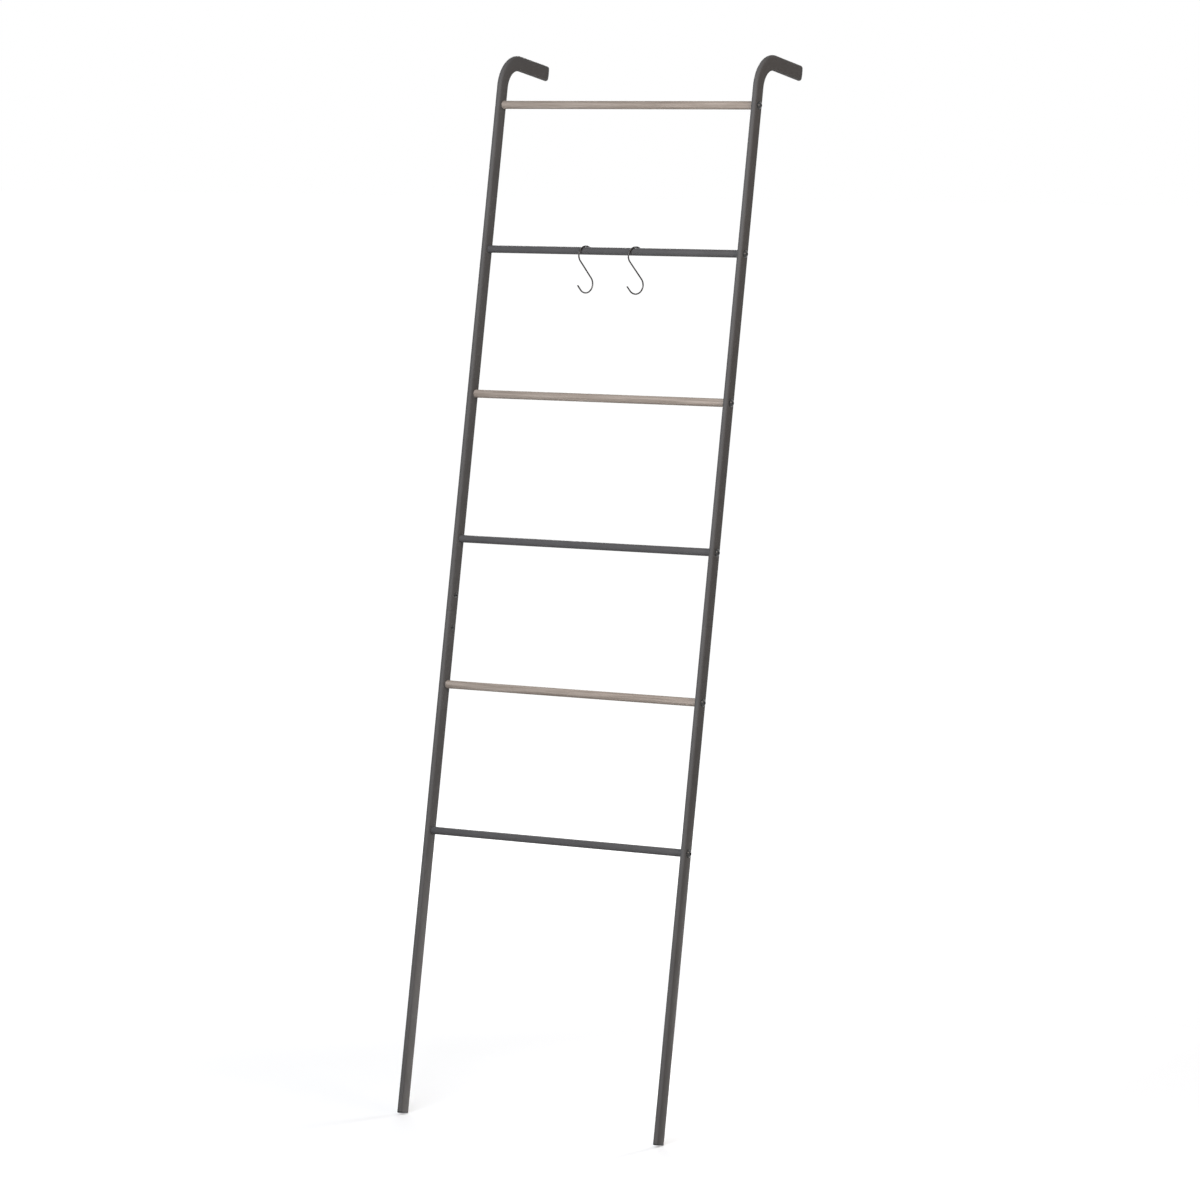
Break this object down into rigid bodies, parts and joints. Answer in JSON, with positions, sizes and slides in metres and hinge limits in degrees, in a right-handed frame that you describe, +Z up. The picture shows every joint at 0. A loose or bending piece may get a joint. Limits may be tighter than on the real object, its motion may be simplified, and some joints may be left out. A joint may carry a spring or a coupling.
{
  "type": "ladder garment rack",
  "caption": "Leaning ladder garment rack: bent flat-oval steel rails, rungs of steel tube and wooden dowel by turns, arms that rest on a wall, and loose S-hooks for hanging clothes.",
  "frame": {"origin": "on the floor, midway between the points where the two feet touch it", "axes": "+X along the rungs to the right as seen from the room, +Y towards the wall it leans on, +Z up"},
  "size_m": [0.522, 0.4865, 1.7882],
  "materials": {
    "rail_coat": "dark grey fine-texture powder coat, satin",
    "rung_coat": "dark grey fine-texture powder coat, satin",
    "rung_wood": "grey-taupe stained wood with fine grain, matt",
    "cap_plastic": "black moulded plastic",
    "fastener": "black glossy plated steel",
    "hook_wire": "dark plated steel wire, shiny",
    "inner_steel": "zinc plated",
    "insert_brass": "bright"
  },
  "bodies": {
    "ladder_frame": {"lower_rail_left": "rail_coat", "upper_rail_left": "rail_coat", "joiner_left": "inner_steel", "joint_screw_left_lower": "fastener", "joint_screw_left_upper": "fastener", "foot_cap_left": "cap_plastic", "arm_cap_left": "cap_plastic", "rung_bolt_left_1": "fastener", "tapped_plug_left_1": "inner_steel", "rung_bolt_left_2": "fastener", "threaded_insert_left_2": "insert_brass", "rung_bolt_left_3": "fastener", "tapped_plug_left_3": "inner_steel", "rung_bolt_left_4": "fastener", "threaded_insert_left_4": "insert_brass", "rung_bolt_left_5": "fastener", "tapped_plug_left_5": "inner_steel", "rung_bolt_left_6": "fastener", "threaded_insert_left_6": "insert_brass", "lower_rail_right": "rail_coat", "upper_rail_right": "rail_coat", "joiner_right": "inner_steel", "joint_screw_right_lower": "fastener", "joint_screw_right_upper": "fastener", "foot_cap_right": "cap_plastic", "arm_cap_right": "cap_plastic", "rung_bolt_right_1": "fastener", "tapped_plug_right_1": "inner_steel", "rung_bolt_right_2": "fastener", "threaded_insert_right_2": "insert_brass", "rung_bolt_right_3": "fastener", "tapped_plug_right_3": "inner_steel", "rung_bolt_right_4": "fastener", "threaded_insert_right_4": "insert_brass", "rung_bolt_right_5": "fastener", "tapped_plug_right_5": "inner_steel", "rung_bolt_right_6": "fastener", "threaded_insert_right_6": "insert_brass", "steel_rung_1": "rung_coat", "wood_rung_2": "rung_wood", "steel_rung_3": "rung_coat", "wood_rung_4": "rung_wood", "steel_rung_5": "rung_coat", "wood_rung_6": "rung_wood"},
    "hook_left": {"hook_left": "hook_wire"},
    "hook_right": {"hook_right": "hook_wire"}
  },
  "joints": [
    {"name": "hook_left_swing", "type": "hinge", "parent": "ladder_frame", "child": "hook_left", "pos_m": [-0.053, 0.26104, 1.45887], "axis": [1, 0, 0], "range_deg": [-60, 60]},
    {"name": "hook_right_swing", "type": "hinge", "parent": "ladder_frame", "child": "hook_right", "pos_m": [0.0454, 0.26104, 1.45887], "axis": [1, 0, 0], "range_deg": [-60, 60]}
  ]
}
